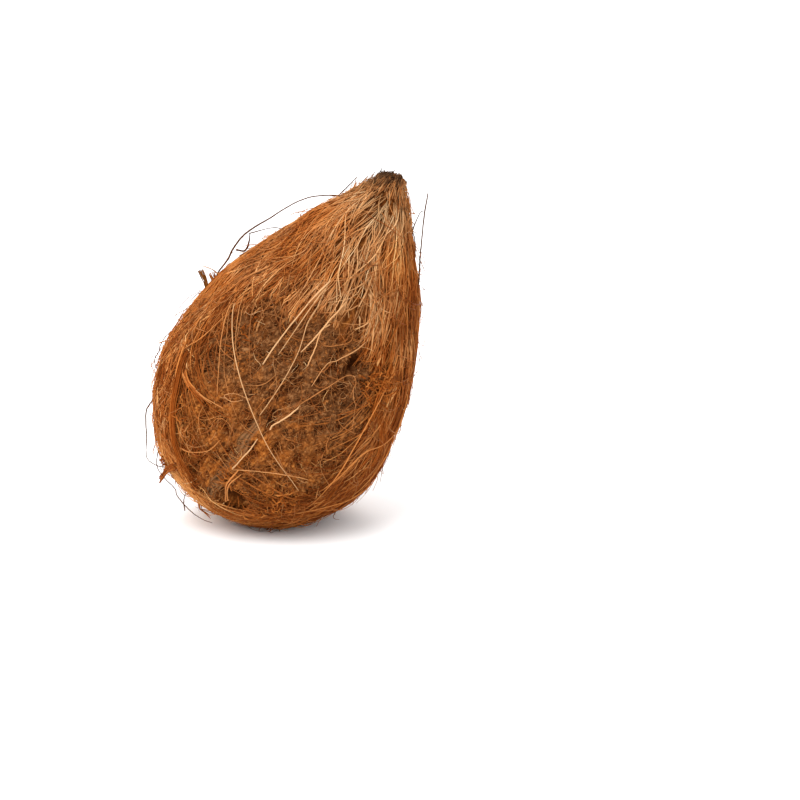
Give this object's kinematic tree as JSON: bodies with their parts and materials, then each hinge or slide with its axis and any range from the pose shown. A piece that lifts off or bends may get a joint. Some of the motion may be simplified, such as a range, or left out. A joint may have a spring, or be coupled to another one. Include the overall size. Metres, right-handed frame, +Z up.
{
  "type": "coconut",
  "caption": "Husked coconut in its coat of coir fibre, drawn up to a pointed tuft round the cut stem end, resting on a small flat spot",
  "frame": {"origin": "centre of the small flat spot that the coconut rests on", "axes": "+Z up from the surface it rests on; the long axis and tuft lean 27.5 degrees from +Z towards +X; the bare patch of husk faces -Y"},
  "size_m": [0.1406, 0.1286, 0.1776],
  "materials": {
    "coir": "rough dry fibre"
  },
  "bodies": {
    "root": {"coconut": "coir"}
  },
  "joints": []
}
